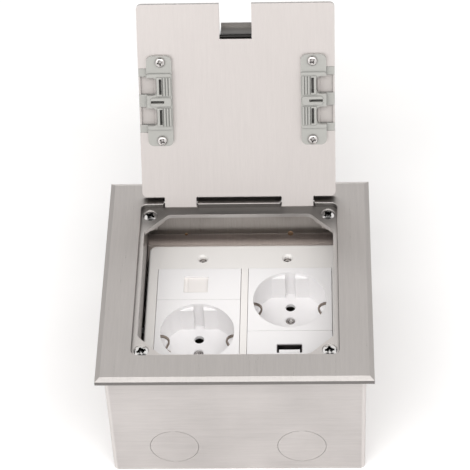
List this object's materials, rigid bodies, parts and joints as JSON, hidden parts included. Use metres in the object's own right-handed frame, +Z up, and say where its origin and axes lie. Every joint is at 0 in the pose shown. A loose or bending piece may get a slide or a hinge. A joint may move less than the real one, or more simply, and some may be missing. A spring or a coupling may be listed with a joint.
{
  "type": "floor socket box",
  "caption": "Square steel floor box with a bevelled cover frame, a hinged lid with a cable flap and side cable doors, and a face plate with earthed sockets, a data outlet and a charging port.",
  "frame": {"origin": "middle of the underside of the box, where it stands in the floor", "axes": "+Z up out of the floor, +Y towards the lid hinge, +X to the right for someone facing the hinge"},
  "size_m": [0.14, 0.1864, 0.1728],
  "materials": {
    "box_steel": "brushed",
    "cover_steel": "brushed",
    "lid_steel": "fine brushed",
    "inner_steel": "satin",
    "ledge_steel": "satin",
    "collar_steel": "brushed",
    "weld_steel": "heat tinted",
    "screw_steel": "polished",
    "pin_steel": "ground",
    "flap_steel": "satin",
    "outlet_plastic": "satin",
    "door_plastic": "satin",
    "white_plastic": "semi-gloss",
    "plate_plastic": "semi-gloss",
    "shutter_plastic": "satin",
    "base_plastic": "matt",
    "brass": "satin",
    "nickel": "satin",
    "shell_steel": "satin",
    "gold": "polished",
    "board": "matt",
    "dark_plastic": "matt"
  },
  "bodies": {
    "box": {"box_shell": "box_steel", "knockout_discs": "box_steel", "corner_brackets": "inner_steel", "captive_nuts": "inner_steel", "corner_screws": "screw_steel", "cover_frame": "cover_steel", "hinge_pins": "pin_steel", "ledge_plate": "ledge_steel", "collar": "collar_steel", "shelf_front": "collar_steel", "shelf_rear": "collar_steel", "weld_spots": "weld_steel", "face_plate": "plate_plastic", "mounting_frame": "inner_steel", "plate_screws": "screw_steel", "socket_insert_left": "white_plastic", "socket_insert_right": "white_plastic", "earth_clip_left": "nickel", "earth_clip_right": "nickel", "socket_base_left": "dark_plastic", "socket_base_right": "dark_plastic", "pin_contacts_left": "brass", "pin_contacts_right": "brass", "terminal_screws": "screw_steel", "centre_screws": "screw_steel", "data_bezel": "white_plastic", "data_jack": "base_plastic", "data_contacts": "gold", "usb_bezel": "white_plastic", "usb_shell": "shell_steel", "usb_tongue": "white_plastic", "usb_contacts": "gold", "usb_housing": "base_plastic", "usb_board": "board", "usb_transformer": "dark_plastic", "earth_stud": "brass", "earth_washer": "brass", "earth_nut": "brass"},
    "lid": {"lid_plate": "lid_steel", "flap_pin": "pin_steel", "outlet_housing_left": "outlet_plastic", "outlet_housing_right": "outlet_plastic", "outlet_screws": "screw_steel", "door_pins": "pin_steel"},
    "flap": {"cable_flap": "flap_steel"},
    "shutter": {"data_shutter": "shutter_plastic"},
    "door_left_front": {"outlet_door_left_front": "door_plastic"},
    "door_left_rear": {"outlet_door_left_rear": "door_plastic"},
    "door_right_front": {"outlet_door_right_front": "door_plastic"},
    "door_right_rear": {"outlet_door_right_rear": "door_plastic"}
  },
  "joints": [
    {"name": "lid_hinge", "type": "hinge", "parent": "box", "child": "lid", "pos_m": [0, 0.0561, 0.076], "axis": [1, 0, 0], "range_deg": [0, 118]},
    {"name": "flap_hinge", "type": "hinge", "parent": "lid", "child": "flap", "pos_m": [0, 0.0993, 0.15618], "axis": [1, 0, 0], "range_deg": [0, 85]},
    {"name": "shutter_slide", "type": "slide", "parent": "box", "child": "shutter", "axis": [-1, 0, 0], "range_m": [0, 0.0124], "stiffness_N_per_m": 15, "springref_m": -0.006},
    {"name": "door_left_front_hinge", "type": "hinge", "parent": "lid", "child": "door_left_front", "pos_m": [-0.0431, 0.08716, 0.13356], "axis": [0, -0.4695, -0.8829], "range_deg": [0, 90]},
    {"name": "door_left_rear_hinge", "type": "hinge", "parent": "lid", "child": "door_left_rear", "pos_m": [-0.0431, 0.07936, 0.1189], "axis": [0, -0.4695, -0.8829], "range_deg": [0, 90]},
    {"name": "door_right_front_hinge", "type": "hinge", "parent": "lid", "child": "door_right_front", "pos_m": [0.0431, 0.08716, 0.13356], "axis": [0, 0.4695, 0.8829], "range_deg": [0, 90]},
    {"name": "door_right_rear_hinge", "type": "hinge", "parent": "lid", "child": "door_right_rear", "pos_m": [0.0431, 0.07936, 0.1189], "axis": [0, 0.4695, 0.8829], "range_deg": [0, 90]}
  ]
}
